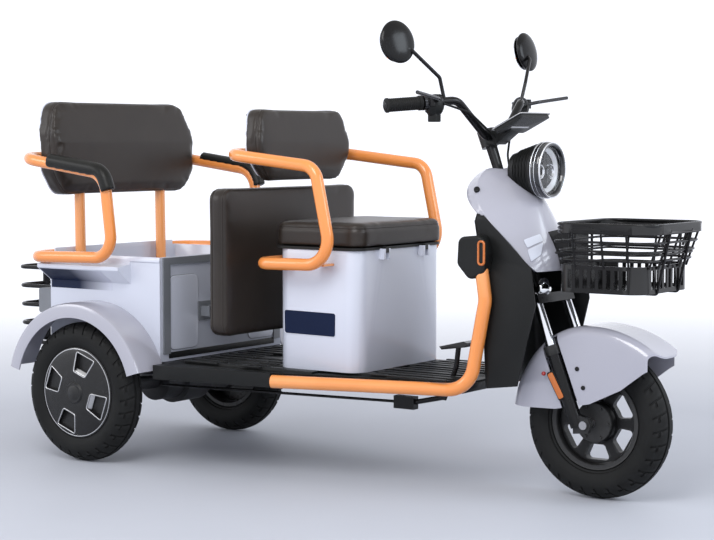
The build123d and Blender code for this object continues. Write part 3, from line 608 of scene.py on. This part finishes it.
def cushions():
    """All upholstered pieces."""
    upholstery("rear_backrest", "rear_backrest_cover", "frame", "brown_leather",
               [leaning(-0.146, 0.780, -0.174, 1.050), leaning(-0.194, 0.780, -0.216, 1.050, "white_shell")])
    upholstery("driver_backrest", "driver_backrest_cover", "frame", "brown_leather",
               [leaning(0.538, 0.830, 0.527, 1.020), leaning(0.507, 0.840, 0.486, 1.020, "white_shell")],
               grow=0.003)
    low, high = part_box("driver_cushion")
    upholstery("driver_cushion", "driver_cushion_cover", "driver_seat", "brown_leather",
               [(Vector((0, 0, high.z - 0.016)), Z, None)], grow=0.003)
    low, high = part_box("rear_seat_cushion")
    upholstery("rear_seat_cushion", "rear_seat_cushion_cover", "rear_seat", "brown_leather",
               [(Vector((high.x - 0.013, 0, 0)), X, None), (Vector((low.x + 0.012, 0, 0)), X, None)],
               grow=0.003)
    upholstery("rear_armrest_pads", "rear_armrest_pad_covers", "frame", "black_leather",
               [], grow=0.001, voxel=0.004)


# ---------------------------------------------------------------- wheels
def treaded_tyre(source, name, centre, body):
    """Tyre with rim ridges, two rings of grooves and slanted grooves on its shoulders."""
    steps, arcs = 180, 18
    bead = [(0.116, -0.0238), (0.1252, -0.0238), (0.1285, -0.031), (0.1325, -0.0325), (0.1345, -0.0372),
            (0.146, -0.0430), (0.153, -0.0448)]
    crown = []
    for k in range(arcs + 1):
        turn = math.radians(-78 + 156 * k / arcs)
        crown.append((0.15616 + 0.04684 * math.cos(turn), 0.04684 * math.sin(turn), abs(turn) * 0.085))
    profile = [(r, y, 0.115) for r, y in bead] + crown + [(r, -y, 0.115) for r, y in reversed(bead)]
    tyre = lathe(name, profile, centre, Y, steps=steps)
    side = Y.orthogonal().normalized()

    def shares(point):
        arm = point - centre
        lift = math.atan2(arm.y, math.hypot(arm.x, arm.z) - 0.15616)
        flat = Vector((arm.x, 0, arm.z))
        turn = math.atan2(side.cross(flat).dot(Y), side.dot(flat)) - abs(lift) * 0.085
        return abs(math.degrees(lift)), turn / math.tau * steps

    def groove(point, normal):
        if (point - centre).length < 0.16:
            return False
        lift, count = shares(point)
        offset = 0 if point.y > centre.y else 3
        slanted = int(math.floor(count + offset)) % 6 == 0 and 20 < lift < 68
        hook = int(math.floor(count + offset)) % 6 in (1, 2) and 43 < lift < 52
        ring = 8.7 < lift < 17.4
        return slanted or hook or ring

    pick(tyre, groove)
    bpy.ops.mesh.inset(thickness=0.0007, depth=-0.0032)
    done(tyre)
    smooth(tyre, 28)
    return fit(tyre, body, "tyre_black", replaces=(source,))


COVER = [(0.054, 0.0500), (0.090, 0.0470), (0.120, 0.0420), (0.132, 0.0370)]


def cover_height(radius):
    """How far the rear wheel's cover stands from the wheel's middle plane at a radius."""
    for (r0, y0), (r1, y1) in zip(COVER, COVER[1:]):
        if radius <= r1:
            return y0 + (y1 - y0) * (radius - r0) / (r1 - r0)
    return COVER[-1][1]


def cover_details(side, body):
    """Bright frames and facets of the four windows, the rim's bright arc and the hub cap."""
    centre = Vector((AXLE_X, side * TRACK_Y, WHEEL_Z))
    made = []
    window = ((0.0585, -0.0235), (0.1155, -0.0365), (0.1155, 0.0365), (0.0585, 0.0235))
    outline = soft_corners([Vector((x, 0, z)) for x, z in window], 0.007)
    for k in range(4):
        turn = Matrix.Rotation(math.radians(-70 + 90 * k), 3, Y)
        points = []
        for point in outline:
            radius = math.hypot(point.x, point.z)
            points.append(centre + turn @ Vector((point.x, side * (cover_height(radius) + 0.0003), point.z)))
        made.append(loop_wire(f"frame_{k}", points, 0.0021))
        for low, high, half in ((0.0595, 0.0685, 0.0215), ):
            corners = [(low, 0.048, -half), (high, 0.0375, -half - 0.0015), (high, 0.0375, half + 0.0015),
                       (low, 0.048, half)]
            points = [centre + turn @ Vector((x, side * y, z)) for x, y, z in corners]
            made.append(plate(f"facet_{k}", points, turn @ Vector((-0.0015, 0, 0))))
    frames = smooth(joined(f"cover_frames_{'left' if side > 0 else 'right'}", made), 50)
    fit(frames, body, "chrome_bright", "window_silver")
    rim = lathe(f"cover_arc_{'left' if side > 0 else 'right'}",
                [(0.1262, side * 0.0392), (0.1275, side * 0.0399), (0.1288, side * 0.0392),
                 (0.1275, side * 0.0380)],
                centre, Y, steps=96)
    fit(smooth(rim, 60), body, "chrome_bright", "window_silver")
    cap = lathe(f"hub_cap_{'left' if side > 0 else 'right'}",
                [(0, side * 0.0562), (0.019, side * 0.0560), (0.0215, side * 0.0545), (0.0215, side * 0.0520),
                 (0, side * 0.0520)], centre, Y, steps=48, ring=False)
    fit(smooth(cap, 40), body, "cover_black")


def front_wheel_details():
    """Rim lips and the hub's bolts."""
    lips = []
    for side in (-1, 1):
        lips.append(lathe(f"lip_{side}", [(0.1215, side * 0.0292), (0.1245, side * 0.0300),
                                          (0.1255, side * 0.0285), (0.1225, side * 0.0280)],
                          FRONT, Y, steps=96))
    fit(smooth(joined("front_rim_lips", lips), 40), "front_wheel", "cast_black")
    bolts = []
    for k in range(6):
        turn = Matrix.Rotation(math.radians(60 * k), 3, Y)
        place = FRONT + turn @ Vector((0.043, 0, 0))
        bolts.append(rod(f"bolt_{k}", place - Y * 0.0375, place - Y * 0.0425, 0.0045, 6))
    fit(smooth(joined("front_hub_bolts", bolts), 30), "front_wheel", "cast_black")


def wheels():
    """Tyres and wheel trim."""
    treaded_tyre("front_tyre", "front_tyre_treaded", FRONT, "front_wheel")
    for side, word in ((-1, "right"), (1, "left")):
        centre = Vector((AXLE_X, side * TRACK_Y, WHEEL_Z))
        treaded_tyre(f"rear_tyre_{word}", f"rear_tyre_{word}_treaded", centre, f"rear_wheel_{word}")
        cover_details(side, f"rear_wheel_{word}")
    front_wheel_details()


# ---------------------------------------------------------------- headlight, lamps and reflectors
def headlight():
    """Reflector bowl with its light ring, the projector, the outer bezel's inner bead and a finned barrel."""
    centre = at(1.322, 0, 0.857)
    bowl = lathe("headlight_bowl", [(0, -0.004), (0.030, -0.003), (0.052, 0.004), (0.0615, 0.012),
                                    (0.0625, 0.0125), (0.0625, 0.002), (0.054, -0.006), (0, -0.0075)],
                 centre, X, steps=72, ring=False)
    fit(smooth(bowl, 30), "frame", "black_plastic", "screen_dark")
    ring = lathe("headlight_ring", [(0.0455, 0.0045), (0.0500, 0.0085), (0.0585, 0.0105), (0.0590, 0.0085),
                                    (0.0510, 0.0040)], centre, X, steps=72)
    fit(smooth(ring, 40), "frame", "lens_clear", "lamp_white")
    shade = cube("headlight_shade", centre + Vector((-0.004, -0.013, -0.046)),
                 centre + Vector((0.008, 0.013, 0.046)))
    rounded(shade, 0.002)
    fit(smooth(shade, 40), "frame", "black_plastic")
    for side in (-1, 1):
        spot = centre + Vector((0.001, side * 0.024, -0.004))
        cup = lathe(f"projector_{'left' if side > 0 else 'right'}",
                    [(0.0115, 0.001), (0.0165, 0.009), (0.0185, 0.0095), (0.0185, 0.0), (0.0115, -0.003)],
                    spot, X, steps=40)
        fit(smooth(cup, 40), "frame", "chrome_bright")
        eye = ball(f"projector_eye_{'left' if side > 0 else 'right'}", spot + X * 0.001,
                   (0.007, 0.0125, 0.0125))
        fit(smooth(eye), "frame", "lens_clear", "lens_clear")
    rim = lathe("headlight_rim", [(0.0632, 0.0005), (0.0700, 0.0005), (0.0738, 0.004), (0.0748, 0.012),
                                  (0.0748, 0.024), (0.0730, 0.0305), (0.0705, 0.0325), (0.0665, 0.0325),
                                  (0.0632, 0.0290)],
                centre, X, steps=96)
    fit(smooth(rim, 50), "frame", "chrome_bright", "screen_dark", replaces=("headlight_bezel",))
    for name, radius, along, thick in (("rear", 0.0742, 0.0055, 0.0016), ("middle", 0.0750, 0.0165, 0.0010),
                                       ("front", 0.0722, 0.0315, 0.0022)):
        profile = [(radius + thick * math.cos(k * math.pi / 4), along + thick * math.sin(k * math.pi / 4))
                   for k in range(8)]
        bead = lathe(f"headlight_bead_{name}", profile, centre, X, steps=96)
        fit(smooth(bead, 60), "frame", "chrome_bright")
    fins = []
    for k in range(5):
        fins.append(lathe(f"fin_{k}", [(0.0478 + 0.0036 * k, -0.0575 + 0.011 * k),
                                       (0.0545 + 0.0036 * k, -0.0565 + 0.011 * k),
                                       (0.0545 + 0.0036 * k, -0.0548 + 0.011 * k),
                                       (0.0478 + 0.0036 * k, -0.0538 + 0.011 * k)], centre, X, steps=64))
    fit(smooth(joined("headlight_fins", fins), 30), "frame", "black_plastic")


def reflectors():
    """Amber reflectors in their holders on the fork legs, and the rings of the pods round their dark wells.
    """
    for side, word in ((-1, "right"), (1, "left")):
        low, high = at(1.442, side * 0.098, 0.266), at(1.403, side * 0.098, 0.336)
        line = (high - low).normalized()
        across = line.cross(Y).normalized() * 0.011
        corners = [low - across, low + across, high + across, high - across]
        holder = plate(f"reflector_holder_{word}",
                       soft_corners([c - Y * side * 0.004 for c in corners], 0.006), Y * side * 0.005)
        fit(smooth(rounded(holder, 0.001), 40), "steering", "frame_black")
        inner = [low + line * 0.004 - across * 0.72, low + line * 0.004 + across * 0.72,
                 high - line * 0.004 + across * 0.72, high - line * 0.004 - across * 0.72]
        lens = plate(f"reflector_{word}", soft_corners([c + Y * side * 0.001 for c in inner], 0.005),
                     Y * side * 0.003)
        fit(smooth(rounded(lens, 0.001), 40), "steering", "lamp_red", "amber_lens")
        x, z = 1.250, 0.644
        points = [at(x - 0.0085, side * 0.1903, z - 0.030), at(x + 0.0085, side * 0.1903, z - 0.030),
                  at(x + 0.0085, side * 0.1903, z + 0.030), at(x - 0.0085, side * 0.1903, z + 0.030)]
        ring = loop_wire(f"pod_ring_{word}", soft_corners(points, 0.0084, 8), 0.0032)
        fit(ring, "frame", "lamp_red", "amber_lens")
        slot_in = [p - Y * side * 0.0018 for p in
                   soft_corners([c.lerp(at(x, side * 0.1903, z), 0.3) for c in points], 0.0055)]
        well = plate(f"pod_lamp_{word}", slot_in, Y * side * 0.0014)
        fit(well, "frame", "black_plastic")


# ---------------------------------------------------------------- controls
def screen():
    """Display glass, its bright upper edge and the light strip beneath."""
    middle = at(1.2604, 0, 0.982)
    along = Vector((math.cos(math.radians(27)), 0, math.sin(math.radians(27))))
    up = Vector((-along.z, 0, along.x))

    def corners(front, back, half, lift):
        return [middle + along * a + Y * b + up * lift
                for a, b in ((-back, -half), (front, -half), (front, half), (-back, half))]

    face = plate("display_glass", soft_corners(corners(0.040, 0.040, 0.072, 0.0066), 0.007), up * 0.0012)
    fit(smooth(face, 30), "steering", "black_plastic", "screen_dark")
    edge = loop_wire("display_edge", soft_corners(corners(0.0495, 0.0495, 0.0825, 0.0035), 0.009), 0.0016)
    fit(edge, "steering", "lever_silver", "window_silver")
    strip = plate("display_strip", soft_corners(corners(-0.006, 0.014, 0.046, -0.0085), 0.003), up * 0.0018)
    fit(smooth(strip, 30), "steering", "lever_silver", "window_silver")


def bar_point(y):
    """Point on the middle line of the handlebar's outer part."""
    t = (abs(y) - 0.168) / 0.188
    return at(1.162 - 0.110 * t, y, 1.040 - 0.016 * t)


def bar_parts():
    """Ribbed grips, their end caps, the switch pods with buttons and the lever pivots."""
    for side, word in ((-1, "right"), (1, "left")):
        start, end = bar_point(side * 0.262), bar_point(side * 0.346)
        line = (end - start).normalized()
        length = (end - start).length
        profile = [(0.0195, -0.002), (0.0195, 0.004)]
        ribs = 13
        for k in range(ribs):
            place = 0.007 + (length - 0.014) * k / ribs
            profile += [(0.0160, place), (0.0176, place + 0.0018), (0.0176, place + 0.0042)]
        profile += [(0.0160, length - 0.006), (0.0192, length - 0.004), (0.0192, length),
                    (0.0150, length + 0.0025)]
        profile += [(0.0112, length + 0.0025), (0.0112, -0.002)]
        grip = lathe(f"grip_{word}", profile, start, line, steps=40)
        fit(smooth(grip, 40), "steering", "rubber_black")
        cap = lathe(f"bar_end_{word}",
                    [(0, 0.004), (0.008, 0.0035), (0.0108, 0.001), (0.0108, -0.004), (0, -0.004)],
                    end + line * 0.0025, line, steps=32, ring=False)
        fit(smooth(cap, 40), "steering", "frame_black")
        a, b = bar_point(side * 0.206), bar_point(side * 0.244)
        pod = ball(f"switch_pod_{word}", (a + b) / 2 - Z * 0.010, (0.024, 0.027, 0.031),
                   turn=(0, math.radians(12), 0))
        fit(smooth(pod), "steering", "black_plastic")
        buttons = []
        for k, (lift, out) in enumerate(((0.014, 0.0), (0.000, 0.004), (-0.014, 0.002))):
            spot = (a + b) / 2 + Vector((-0.0225, side * out, lift - 0.010))
            buttons.append(ball(f"button_{k}", spot, (0.004, 0.008, 0.0045), rings=8))
        fit(smooth(joined(f"switch_buttons_{word}", buttons)), "steering", "lever_silver", "grey_trim")
        post = bar_point(side * 0.252) + Vector((0.026, 0, 0.004))
        pivot = rod(f"lever_pivot_{word}", post - Z * 0.013, post + Z * 0.013, 0.008, 24)
        fit(smooth(rounded(pivot, 0.001), 35), "steering", "frame_black")
    hang = bar_point(-0.226)
    box = cube("horn_switch", hang + Vector((-0.013, -0.013, -0.052)), hang + Vector((0.013, 0.013, -0.012)))
    fit(smooth(rounded(box, 0.003), 40), "steering", "black_plastic")


# ---------------------------------------------------------------- body trim
def stuck_on(name, points, target, depth, body, slot, material=None, corner=0.004):
    """Thin plate laid onto a curved CAD panel: outline filled, cut fine, pressed on and thickened."""
    obj = drawn(name, soft_corners(points, corner))
    take(obj)
    bpy.ops.object.mode_set(mode="EDIT")
    bpy.ops.mesh.select_all(action="SELECT")
    bpy.ops.mesh.quads_convert_to_tris()
    for _ in range(3):
        bpy.ops.mesh.subdivide(number_cuts=1)
    done(obj)
    press = obj.modifiers.new("press", "SHRINKWRAP")
    press.target = target
    press.wrap_method = "NEAREST_SURFACEPOINT"
    press.offset = depth
    take(obj)
    bpy.ops.object.modifier_apply(modifier="press")
    change(obj, "SOLIDIFY", thickness=depth, offset=0)
    mend(obj)
    return fit(smooth(obj, 40), body, slot, material)


def side_patches():
    """Plain dark patch on each side of the seat box, with a thin pale edge."""
    for side, word in ((-1, "right"), (1, "left")):
        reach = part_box("driver_seat_box")[1].y
        points = [at(x, side * (reach + 0.0004), z) for x, z in
                  ((0.632, 0.401), (0.805, 0.399), (0.806, 0.465), (0.631, 0.467))]
        patch = plate(f"seat_box_patch_{word}", soft_corners(points, 0.009), -Y * side * 0.003)
        fit(patch, "frame", "white_shell", "navy_paint")
        rim = loop_wire(f"seat_box_patch_rim_{word}", soft_corners(points, 0.009), 0.0011)
        fit(rim, "frame", "white_shell")


def floor_ribs():
    """Lengthwise ribs of the foot panel, ahead of and behind the driver's seat box."""
    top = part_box("floor_panel")[1].z
    ribs = []
    for start, stop, half, count in ((0.300, 0.425, 0.255, 13), (0.512, 0.578, 0.255, 13),
                                     (0.906, 1.150, 0.200, 11)):
        for k in range(count):
            y = -half + 2 * half * k / (count - 1)
            ribs.append(cube(f"rib_{len(ribs)}", at(start, y - 0.006, top - 0.001),
                             at(stop, y + 0.006, top + 0.0025)))
    mat = rounded(joined("floor_ribs", ribs), 0.001, 2)
    fit(smooth(mat, 40), "frame", "black_plastic")


def fasteners():
    """Bolt heads of the front fender."""
    heads = []
    for side in (-1, 1):
        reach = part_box("front_fender")[1].y
        for x, z in ((1.476, 0.347), (1.494, 0.299)):
            spot = at(x, side * (reach - 0.004), z)
            heads.append(rod(f"head_{len(heads)}", spot, spot + Y * side * 0.007, 0.006, 20))
    bolts = rounded(joined("front_fender_bolts", heads), 0.0012, 2)
    fit(smooth(bolts, 35), "steering", "frame_black")


def basket_wires():
    """Round bars of the basket: three round its wire sides and three that make up its rim."""
    for name, rows, radius in (("side", ((0.634, 0.004), (0.657, 0.011), (0.680, 0.018)), 0.0034),
                               ("rim", ((0.704, 0.022), (0.714, 0.024), (0.724, 0.026)), 0.0044)):
        bars = []
        for height, grow in rows:
            half, front = 0.146 + grow * 0.5, 1.697 + grow
            points = [at(1.440, -half, height), at(front, -half, height), at(front, half, height),
                      at(1.440, half, height)]
            bars.append(loop_wire(f"{name}_bar_{len(bars)}", soft_corners(points, 0.058, 8), radius))
        fit(smooth(joined(f"basket_{name}_bars", bars), 60), "frame", "frame_black")
    stays = []
    for y in (-0.062, 0.062):
        points = [at(1.690, y, 0.612), at(1.706, y, 0.655), at(1.7235, y, 0.724), at(1.718, y, 0.7285),
                  at(1.700, y, 0.668)]
        stays.append(wire(f"stay_{len(stays)}", points, 0.0036))
    fit(joined("basket_stays", stays), "frame", "frame_black")


def rear_box_panels():
    """Raised panels on the rear box's front wall, a black strip of painted shadow beneath them, and painted
    shade under the lip on each side.
    """
    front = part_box("rear_box")[1].x
    for side, word in ((-1, "right"), (1, "left")):
        points = [Vector((front, side * y, z)) for y, z in ((0.120, 0.330), (0.246, 0.330), (0.246, 0.545),
                                                           (0.120, 0.545))]
        panel = plate(f"box_front_panel_{word}", soft_corners(points, 0.022), X * 0.003)
        fit(smooth(rounded(panel, 0.0012), 35), "frame", "white_shell")
        edge = loop_wire(f"box_front_panel_edge_{word}", soft_corners(points, 0.022), 0.0016)
        fit(edge, "frame", "grey_trim")
        # Painted shade on each side: dark blue on the wall below the lip and on the lip's underside, fading
        # forwards.
        lower = [at(x, side * 0.2884, z) for x, z in ((-0.184, 0.497), (0.060, 0.497), (0.060, 0.5205),
                                                      (-0.184, 0.5205))]
        upper = [at(x, side * y, z) for x, y, z in ((-0.184, 0.2884, 0.5203), (0.060, 0.2884, 0.5203),
                                                    (0.060, 0.340, 0.5571), (-0.184, 0.340, 0.5571))]
        inwards = Vector((0, -side * 0.58, 0.81))
        patch = joined(f"rear_box_lip_shade_{word}", [
            plate(f"lip_shade_low_{word}", lower, -Y * side * 0.002),
            plate(f"lip_shade_high_{word}", [p - inwards * 0.0004 for p in upper], inwards * 0.002)])
        fit(patch, "frame", "white_shell", "painted_lip_shade")
    # Black strip along the foot of the front wall, where the floor meets it: painted shadow.
    band = cube("box_foot_shadow_strip", Vector((front - 0.001, -0.250, 0.306)),
                Vector((front + 0.002, 0.250, 0.324)))
    fit(smooth(rounded(band, 0.0008), 35), "frame", "black_plastic")


def post_tops():
    """Upper ends of the rear backrest's posts, inside its cover."""
    tops = [rod(f"post_top_{len(word)}", at(-0.164, y, 0.7632), at(-0.164, y, 0.800), 0.0158, 40)
            for word, y in (("right", -0.185), ("left", 0.185))]
    fit(smooth(joined("backrest_post_tops", tops), 40), "frame", "orange_paint")


def hood_lamps():
    """Two-part lamps let into the hood's sides."""
    halves = (((1.329, 0.111, 0.677), (1.352, 0.062, 0.691), (1.362, 0.063, 0.673), (1.342, 0.113, 0.657)),
              ((1.344, 0.116, 0.652), (1.364, 0.066, 0.668), (1.370, 0.088, 0.638), (1.361, 0.125, 0.622)))
    for side, word in ((-1, "right"), (1, "left")):
        for half, name in zip(halves, ("upper", "lower")):
            points = [at(x, side * y, z) for x, y, z in half]
            away = (points[1] - points[0]).cross(points[2] - points[1]).normalized()
            if away.x < 0:
                away = -away
            stuck_on(f"hood_lamp_{name}_{word}", [p + away * 0.012 for p in points],
                     frame["nodes"]["front_panel"], 0.0014, "frame", "lens_clear", "white_shell")


def small_fittings():
    """Hood lock, the horn ahead of the fork's crown, and the fork's adjusters."""
    place = at(1.192, -0.116, 0.805)
    out = Vector((0.35, -0.72, 0.60)).normalized()
    lock = rod("hood_lock", place - out * 0.003, place + out * 0.006, 0.008, 28)
    fit(smooth(rounded(lock, 0.0015), 40), "frame", "black_plastic")
    horn = lathe("horn", [(0, 0.020), (0.006, 0.020), (0.010, 0.015), (0.024, 0.011), (0.029, 0.004),
                          (0.029, -0.002), (0.012, -0.012), (0, -0.012)],
                 at(1.352, -0.040, 0.546), X, steps=40, ring=False)
    fit(smooth(horn, 40), "steering", "chrome_bright")
    for side, word in ((-1, "right"), (1, "left")):
        knob = ball(f"fork_adjuster_{word}", at(1.386, side * 0.098, 0.330), (0.006, 0.006, 0.006), rings=8)
        fit(smooth(knob), "steering", "lamp_red")


def trim():
    """Everything small on the body."""
    hood_lamps()
    small_fittings()
    basket_wires()
    rear_box_panels()
    post_tops()
    side_patches()
    floor_ribs()
    fasteners()


# ---------------------------------------------------------------- camera, floor and lights
def backdrop():
    """Round studio floor that rises into a plain wall."""
    profile = [(0, 0), (6.5, 0), (7.4, 0.06), (8.2, 0.3), (8.9, 0.8), (9.4, 1.6), (9.7, 2.8), (9.8, 6.5)]
    floor = lathe("floor", profile, Vector((0.08, 0, 0)), Z, steps=96, ring=False)
    smooth(floor, 60)
    paint(floor, "floor_pale")
    shader = MATERIALS["floor_pale"].node_tree.nodes["Principled BSDF"]
    shader.inputs["Emission Color"].default_value = (1, 1, 1, 1)
    tree = MATERIALS["floor_pale"].node_tree
    reach = tree.nodes.new("ShaderNodeVectorMath")
    reach.operation = "LENGTH"
    tree.links.new(tree.nodes["Texture Coordinate"].outputs["Object"], reach.inputs[0])
    rise = tree.nodes.new("ShaderNodeMapRange")
    rise.inputs["From Min"].default_value = 1.6
    rise.inputs["From Max"].default_value = 6.0
    rise.inputs["To Max"].default_value = 0.65
    tree.links.new(reach.outputs["Value"], rise.inputs["Value"])
    tree.links.new(rise.outputs["Result"], shader.inputs["Emission Strength"])


def stage():
    """Studio, soft lights and the camera."""
    backdrop()
    world = bpy.data.worlds.new("studio")
    bpy.context.scene.world = world
    world.use_nodes = True
    world.node_tree.nodes["Background"].inputs["Color"].default_value = (1, 1, 1, 1)
    world.node_tree.nodes["Background"].inputs["Strength"].default_value = 0.8
    white, cool = (1, 1, 1), (0.84, 0.92, 1.0)
    for name, place, size, power, colour, aim in (
            ("key", at(1.6, -3.0, 3.2), 1.8, 70, white, at(0.7, 0, 0.5)),
            ("side", at(-2.6, -3.0, 2.4), 1.6, 28, white, at(0.4, 0, 0.5)),
            ("front", at(4.2, 0.6, 2.2), 1.6, 42, cool, at(1.2, 0, 0.5))):
        light = bpy.data.lights.new(name, "AREA")
        light.energy = power
        light.color = colour
        light.size = size
        lamp = bpy.data.objects.new(name, light)
        lamp.location = place
        lamp.rotation_euler = (aim - place).to_track_quat("-Z", "Y").to_euler()
        bpy.context.scene.collection.objects.link(lamp)
    camera = bpy.data.cameras.new("camera")
    camera.sensor_width = 36
    camera.lens = 92.42
    view = bpy.data.objects.new("camera", camera)
    view.location = at(3.6779, -4.2762, 0.9392)
    view.rotation_euler = (math.radians(85.91), 0, math.radians(34.6))
    bpy.context.scene.collection.objects.link(view)
    bpy.context.scene.camera = view
    bpy.context.scene.view_settings.view_transform = "Standard"


# ---------------------------------------------------------------- make everything
stage()
dress_cad_nodes()
cushions()
wheels()
headlight()
reflectors()
screen()
bar_parts()
trim()
